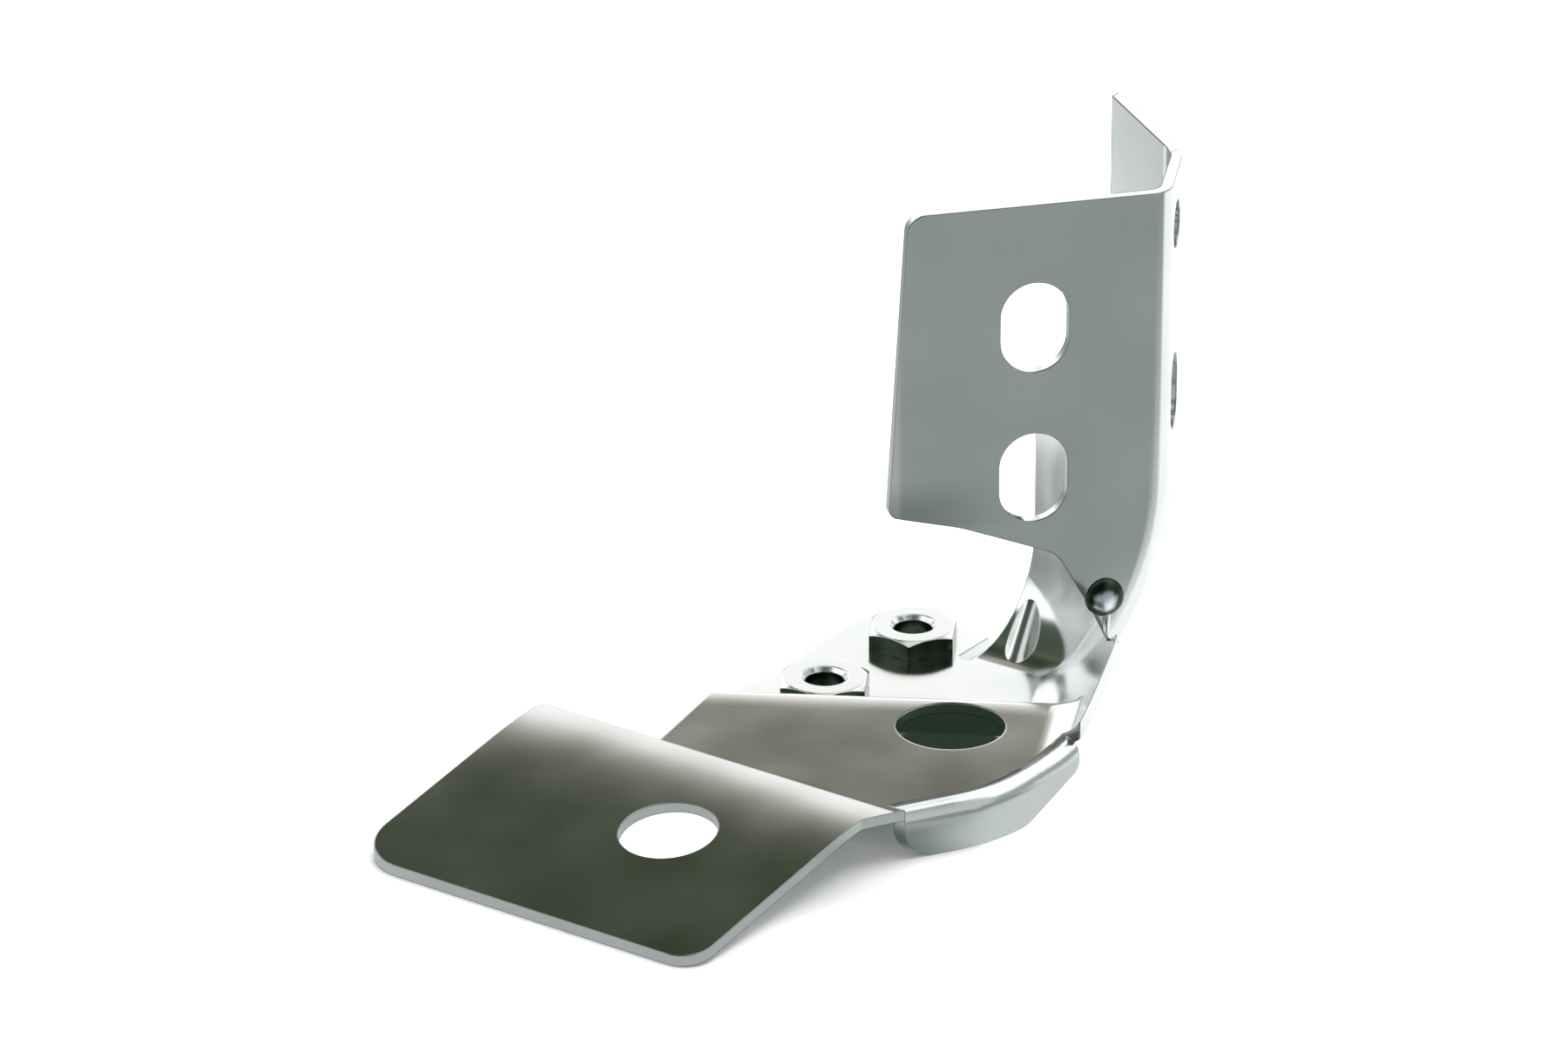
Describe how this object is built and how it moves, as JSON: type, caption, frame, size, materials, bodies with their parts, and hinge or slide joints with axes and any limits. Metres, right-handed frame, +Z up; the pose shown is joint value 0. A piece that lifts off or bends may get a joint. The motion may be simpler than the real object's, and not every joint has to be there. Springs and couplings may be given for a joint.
{
  "type": "fender bracket",
  "caption": "Pressed sheet-steel fender bracket: a stepped foot with a sloping drilled tab, an upright with a slotted flange, and hexagon weld nuts.",
  "frame": {"origin": "centre of the platform hole on the platform's underside", "axes": "+Z is up, along the platform hole; -Y is the outward normal of the slotted flange; +X runs along that flange towards the web"},
  "size_m": [0.1128, 0.0927, 0.0786],
  "materials": {
    "plated_sheet": "bright plated pressed steel",
    "plated_nut": "bright plated steel"
  },
  "bodies": {
    "root": {"stamped_bracket": "plated_sheet", "weld_nut_rear": "plated_nut", "weld_nut_front": "plated_nut"}
  },
  "joints": []
}
